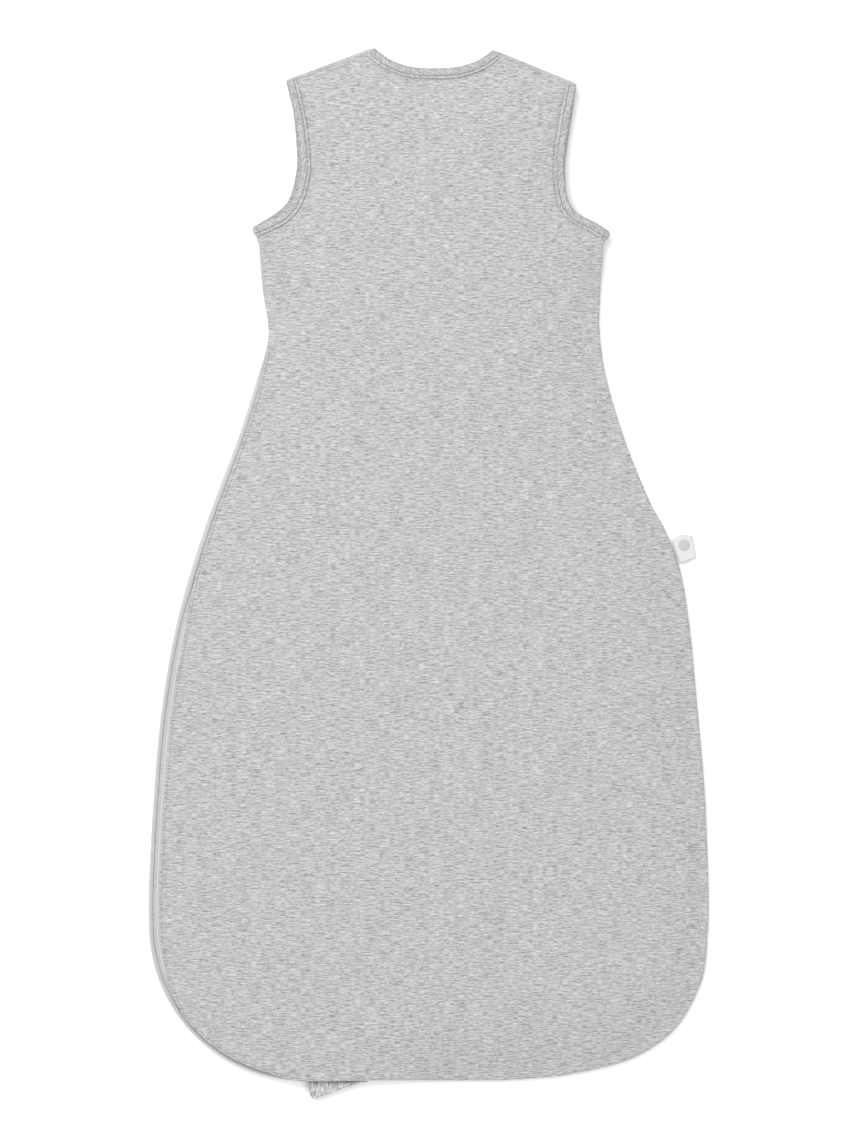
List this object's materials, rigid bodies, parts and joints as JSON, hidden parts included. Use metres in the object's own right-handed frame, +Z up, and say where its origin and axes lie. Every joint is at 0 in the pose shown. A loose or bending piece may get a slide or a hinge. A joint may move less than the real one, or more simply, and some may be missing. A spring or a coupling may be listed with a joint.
{
  "type": "baby sleeping bag",
  "caption": "Sleeveless quilted baby sleeping bag in grey marl jersey, lying face down, with a zip down one side and round the hem.",
  "frame": {"origin": "centre of the underside of the bag's box, on the surface that it lies on", "axes": "+X to the side away from the zip, +Y from hem to shoulders, +Z up, out of the back panel"},
  "size_m": [0.4882, 0.9164, 0.02],
  "materials": {
    "marl_jersey": "light grey marl jersey with fine crosswise streaks",
    "binding_jersey": "the same jersey folded over the edge",
    "rib_knit": "grey marl rib knit",
    "lining_cotton": "plain white cotton",
    "wadding": "soft white polyester filling",
    "zip_tape": "woven grey tape",
    "zip_coil": "grey nylon coil",
    "slider_metal": "satin grey lacquer",
    "label_satin": "white woven satin",
    "popper_plastic": "grey moulded plastic"
  },
  "bodies": {
    "bag": {"front_outer": "marl_jersey", "back_outer": "marl_jersey", "front_lining": "lining_cotton", "back_lining": "lining_cotton", "front_wadding": "wadding", "back_wadding": "wadding", "neck_binding_back": "binding_jersey", "neck_binding_front": "binding_jersey", "armhole_binding_left_back": "binding_jersey", "armhole_binding_left_front": "binding_jersey", "armhole_binding_right_back": "binding_jersey", "armhole_binding_right_front": "binding_jersey", "zip_tape_front": "zip_tape", "zip_tape_back_end": "zip_tape", "zip_coil_front": "zip_coil", "zip_coil_back_end": "zip_coil", "zip_top_stop": "slider_metal", "zip_bottom_stop": "slider_metal", "front_left_popper_stud": "popper_plastic", "front_left_popper_post": "popper_plastic", "front_right_popper_stud": "popper_plastic", "front_right_popper_post": "popper_plastic"},
    "flap": {"back_outer_flap": "marl_jersey", "back_wadding_flap": "wadding", "back_lining_flap": "lining_cotton", "zip_tape_back_flap": "zip_tape", "zip_coil_back_flap": "zip_coil"},
    "slider": {"slider_body": "slider_metal"},
    "pull": {"pull_tab": "slider_metal"},
    "garage": {"zip_garage": "rib_knit"},
    "label": {"side_label": "label_satin"},
    "strap_left": {"strap_left_outer": "marl_jersey", "strap_left_lining": "lining_cotton", "strap_left_binding": "binding_jersey", "strap_left_popper_cap": "popper_plastic", "strap_left_popper_socket": "popper_plastic"},
    "strap_right": {"strap_right_outer": "marl_jersey", "strap_right_lining": "lining_cotton", "strap_right_binding": "binding_jersey", "strap_right_popper_cap": "popper_plastic", "strap_right_popper_socket": "popper_plastic"}
  },
  "joints": [
    {"name": "flap_open", "type": "hinge", "parent": "bag", "child": "flap", "pos_m": [-0.11186, -0.44844, 0.0162], "axis": [-0.0277, 0.9996, -0.0097], "range_deg": [0, 150]},
    {"name": "slider_travel", "type": "hinge", "parent": "bag", "child": "slider", "pos_m": [-0.10786, -0.30644, 0.008], "axis": [0, 0, -1], "range_deg": [0, 92]},
    {"name": "pull_swing", "type": "hinge", "parent": "slider", "child": "pull", "pos_m": [-0.09634, -0.43814, 0.0111], "axis": [0, 0, 1], "range_deg": [-20, 20]},
    {"name": "garage_fold", "type": "hinge", "parent": "bag", "child": "garage", "pos_m": [-0.07986, -0.44284, 0.0074], "axis": [-1, 0, 0], "range_deg": [0, 85]},
    {"name": "label_fold", "type": "hinge", "parent": "bag", "child": "label", "pos_m": [0.21504, 0.01906, 0.0036], "axis": [0.3281, -0.9446, 0], "range_deg": [0, 80]},
    {"name": "strap_left_unfold", "type": "hinge", "parent": "bag", "child": "strap_left", "pos_m": [-0.08636, 0.44356, 0.008], "axis": [0.9368, 0.3498, 0], "range_deg": [0, 180]},
    {"name": "strap_right_unfold", "type": "hinge", "parent": "bag", "child": "strap_right", "pos_m": [0.09264, 0.44106, 0.008], "axis": [0.9258, -0.3781, 0], "range_deg": [0, 180]}
  ]
}
